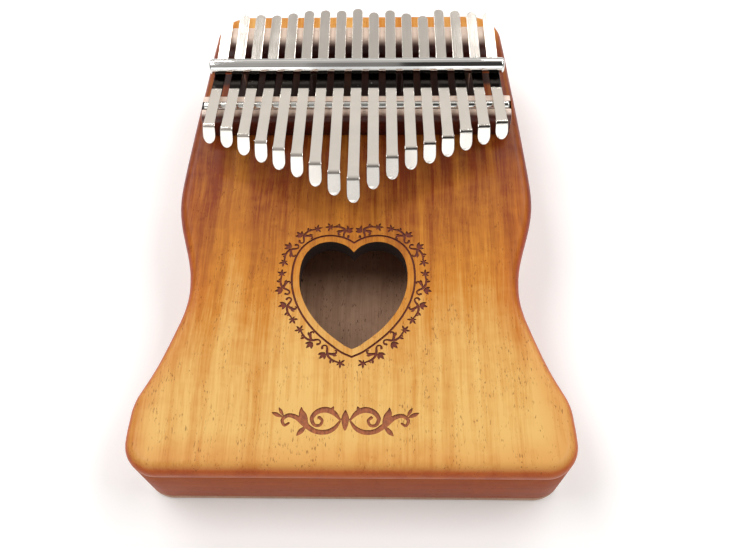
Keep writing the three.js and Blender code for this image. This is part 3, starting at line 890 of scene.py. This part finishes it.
def side_curve(crease, tip):
    """Underside of a tine as (y, z), from tip to head, y measured behind the front rod."""
    zc = PIVOT_Z + RISE * crease
    c, s = math.cos(DROP), math.sin(DROP)
    dz = PIVOT_Z - RISE * DIP
    pts = []
    for d in np.linspace(tip, 0.9, 7):
        pts.append((-(crease + d * c), zc - d * s))
    r = 0.22  # tight bend at the crease
    a0, a1 = -DROP, math.atan(RISE)
    for k in range(0, 7):
        f = k / 6
        # quadratic between the two flats
        p0 = np.array([-(crease + r * c), zc - r * s])
        p1 = np.array([-crease, zc])
        p2 = np.array([-(crease - r), zc - RISE * r])
        q = (1 - f) ** 2 * p0 + 2 * f * (1 - f) * p1 + f * f * p2
        pts.append((q[0], q[1]))
    for y in np.linspace(-(crease - 1.2), 5.0, max(6, int((crease + 5) / 3))):
        pts.append((y, PIVOT_Z - RISE * y))
    # sprung curve under the pressure rod
    p0 = np.array([5.0, PIVOT_Z - RISE * 5.0])
    p2 = np.array([DIP + 5.0, dz + REAR * 5.0])
    p1 = np.array([DIP - 0.6, dz - 0.12])
    for k in range(1, 22):
        f = k / 22
        q = (1 - f) ** 2 * p0 + 2 * f * (1 - f) * p1 + f * f * p2
        pts.append((q[0], q[1]))
    return pts, dz


def tine(k):
    crease, tip, head = CREASE[k], TIP_LEN[k], HEAD[k]
    pts, dz = side_curve(crease, tip)
    for y in np.linspace(DIP + 5.0, head, 9):
        pts.append((y, dz + REAR * (y - DIP)))
    pts = np.array(sorted(pts))
    y_tip, y_head = pts[0, 0], pts[-1, 0]
    w, t = WIDE / 2, TIPW / 2
    # plan outline, anticlockwise
    right, n = [], 18
    for i in range(n + 1):  # tip end, from the middle to the right side
        a = math.radians(-90 + 90 * i / n)
        right.append((t * math.cos(a), y_tip + t * 0.92 + t * 0.92 * math.sin(a)))
    right += [(t, -(crease + 1.2)), (t - (t - w) * 0.35, -(crease - 0.2)), (t - (t - w) * 0.8, -(crease - 1.4)), (w, -(crease - 3.0)), (w, 0.0),
              (w, head - w)]
    for i in range(1, n + 1):
        a = math.radians(90 * i / n)
        right.append((w * math.cos(a), head - w + w * math.sin(a)))
    right = np.array(right)
    left = right[1:-1][::-1] * np.array([-1, 1])
    plan = np.concatenate([right, left])
    bm = bmesh.new()
    bot = [bm.verts.new((p[0], p[1], 0.0)) for p in plan]
    top = [bm.verts.new((p[0], p[1], THICK)) for p in plan]
    m = len(plan)
    fb_ = bm.faces.new(list(reversed(bot)))
    ft_ = bm.faces.new(top)
    for i in range(m):
        bm.faces.new((bot[i], bot[(i + 1) % m], top[(i + 1) % m], top[i]))
    bm.normal_update()
    edges = [e for e in bm.edges if len(e.link_faces) == 2 and (fb_ in e.link_faces or ft_ in e.link_faces)]
    bmesh.ops.bevel(bm, geom=edges, offset=0.13, segments=2, profile=0.5, affect="EDGES", clamp_overlap=True)
    for y in sorted(set(np.round(pts[1:-1, 0], 4))):
        geom = bm.verts[:] + bm.edges[:] + bm.faces[:]
        bmesh.ops.bisect_plane(bm, geom=geom, dist=1e-5, plane_co=(0, float(y), 0), plane_no=(0, 1, 0))
    slope = np.gradient(pts[:, 1], pts[:, 0])
    for v in bm.verts:
        z = float(np.interp(v.co.y, pts[:, 0], pts[:, 1]))
        sl = float(np.interp(v.co.y, pts[:, 0], slope))
        h = v.co.z
        # keep the thickness square to the strip
        ny, nz = -sl / math.hypot(1, sl), 1 / math.hypot(1, sl)
        v.co = Vector((v.co.x, v.co.y + ny * (h - 0.0) * 1.0, z + nz * h))
    bmesh.ops.recalc_face_normals(bm, faces=bm.faces)
    for f in bm.faces:
        f.smooth = True
    me = bpy.data.meshes.new(f"tine_{k + 1:02d}_strip")
    bm.to_mesh(me)
    bm.free()
    place = Matrix.Translation(((k - 8) * PITCH, ROD_Y, 0)) @ Matrix.Rotation((k - 8) * FAN, 4, "Z")
    me.transform(Matrix.Scale(MM, 4) @ place)
    me.set_sharp_from_angle(angle=math.radians(18))
    me.materials.append(MAT["tine"])
    ob = bpy.data.objects.new(me.name, me)
    bpy.context.scene.collection.objects.link(ob)
    s = place @ Vector((0, 2.5, PIVOT_Z + 0.5)) * MM
    tuple(s)
    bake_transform(ob)
    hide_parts(f"tine_{k + 1:02d}_shank", f"tine_{k + 1:02d}_blade")
    return ob


for k in range(17):
    tine(k)

# carried-over CAD nodes: brace, screws and washers
for name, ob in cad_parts.items():
    if name == "bridge_brace":
        ob.data.materials.clear()
        ob.data.materials.append(MAT["inner"])
    elif name.startswith(("pressure_screw", "screw_washer")):
        ob.data.materials.clear()
        ob.data.materials.append(MAT["screw"])

# =====================================================================
# floor, light and camera
# =====================================================================
floor = new_object("floor", [(-3000, -3000, 0), (3000, -3000, 0), (3000, 3000, 0), (-3000, 3000, 0)], [(0, 1, 2, 3)])
f = Mat("floor_white")
fn = f.noise(f.map((6, 6, 6)), 1.0, 2)
floor.data.materials.append(f.set(Base_Color=f.mix(fn, (0.90, 0.90, 0.905), (0.93, 0.93, 0.935)), Roughness=0.75, Emission_Color=(1.0, 1.0, 1.0), Emission_Strength=0.16))

world = bpy.data.worlds.new("studio")
bpy.context.scene.world = world
world.use_nodes = True
world.node_tree.nodes["Background"].inputs[0].default_value = (1.0, 0.965, 0.93, 1)
world.node_tree.nodes["Background"].inputs[1].default_value = 0.27

AIM = Vector((0, 0.04, 0.044))


def heading(theta, rx):
    """Unit vector: theta degrees up from the far horizon in the upright plane, rx to the side."""
    a = math.radians(theta)
    k = math.sqrt(1 - rx * rx)
    return Vector((rx, math.cos(a) * k, math.sin(a) * k))


def card(name, t0, t1, r0, r1, level, dist=1.6, colour=(1, 1, 1), n=6):
    """Studio card that only shows in reflections: a patch of a sphere round the instrument."""
    verts, faces = [], []
    for i in range(n + 1):
        for k in range(n + 1):
            v = AIM + heading(t0 + (t1 - t0) * i / n, r0 + (r1 - r0) * k / n) * dist
            verts.append(tuple(v))
    for i in range(n):
        for k in range(n):
            a = i * (n + 1) + k
            faces.append((a, a + 1, a + n + 2, a + n + 1))
    ob = new_object(name, verts, faces, 1.0)
    m = bpy.data.materials.new(name)
    m.use_nodes = True
    nt = m.node_tree
    nt.nodes.clear()
    out = nt.nodes.new("ShaderNodeOutputMaterial")
    em = nt.nodes.new("ShaderNodeEmission")
    em.inputs[0].default_value = (*colour, 1)
    em.inputs[1].default_value = level
    nt.links.new(em.outputs[0], out.inputs[0])
    ob.data.materials.append(m)
    ob.visible_camera = False
    ob.visible_diffuse = False
    ob.visible_shadow = False
    ob.visible_transmission = False
    return ob


def softbox(name, theta, rx, dist, size, power, colour=(1, 1, 1)):
    d = heading(theta, rx)
    light = bpy.data.lights.new(name, "AREA")
    light.shape = "RECTANGLE"
    light.size, light.size_y = size
    light.energy = power
    light.color = colour
    ob = bpy.data.objects.new(name, light)
    ob.location = AIM + d * dist
    x = Vector((1, 0, 0))
    x = (x - d * x.dot(d)).normalized()
    y = d.cross(x)
    ob.matrix_world = Matrix((x, y, d)).transposed().to_4x4()
    ob.location = AIM + d * dist
    bpy.context.scene.collection.objects.link(ob)
    return ob


# two softboxes behind the instrument, left and right of the middle, and two overhead
softbox("back_left", 49, -0.505, 1.3, (0.80, 0.16), 5.0, (1.0, 0.985, 0.965))
softbox("back_right", 49, 0.46, 1.3, (0.80, 0.16), 4.8, (1.0, 0.985, 0.965))
softbox("overhead_left", 88, -0.50, 1.4, (0.55, 0.7), 7.6, (1.0, 0.985, 0.965))
softbox("overhead_right", 90, 0.56, 1.4, (0.45, 0.7), 6.4, (1.0, 0.985, 0.965))
# what the polished steel sees
WARM = (1.0, 0.955, 0.91)
card("back_low", 16, 43, -0.75, 0.75, 0.84, colour=WARM)
card("back_high", 43, 62, -0.75, 0.75, 0.56, dist=1.75, colour=WARM)
card("over", 62, 82, -0.75, 0.75, 0.50, dist=1.75, colour=WARM)
card("dim_right", 82, 140, 0.03, 0.5, 0.04, colour=WARM)
card("dim_middle", 82, 138, -0.10, 0.03, 0.24, colour=WARM)
card("dim_left", 82, 136, -0.35, -0.10, 0.40, colour=WARM)
card("front_right", 146, 176, 0.07, 0.6, 1.6)
card("front_left", 146, 176, -0.6, -0.10, 1.6)
card("front_middle", 146, 176, -0.10, 0.07, 0.85)

cam_data = bpy.data.cameras.new("camera")
cam_data.sensor_width = 36.0
cam_data.lens = 802.76 / 730 * 36.0
cam_data.clip_start = 0.01
cam_data.clip_end = 20
cam = bpy.data.objects.new("camera", cam_data)
tilt, yaw, roll = 0.50432, 0.02734, 0.01396
cam.matrix_world = (Matrix.Translation((0.01010, -0.15389, 0.26233))
                    @ Matrix.Rotation(yaw, 4, "Y") @ Matrix.Rotation(tilt, 4, "X") @ Matrix.Rotation(roll, 4, "Z"))
bpy.context.scene.collection.objects.link(cam)
bpy.context.scene.camera = cam
bpy.context.scene.view_settings.view_transform = "Standard"
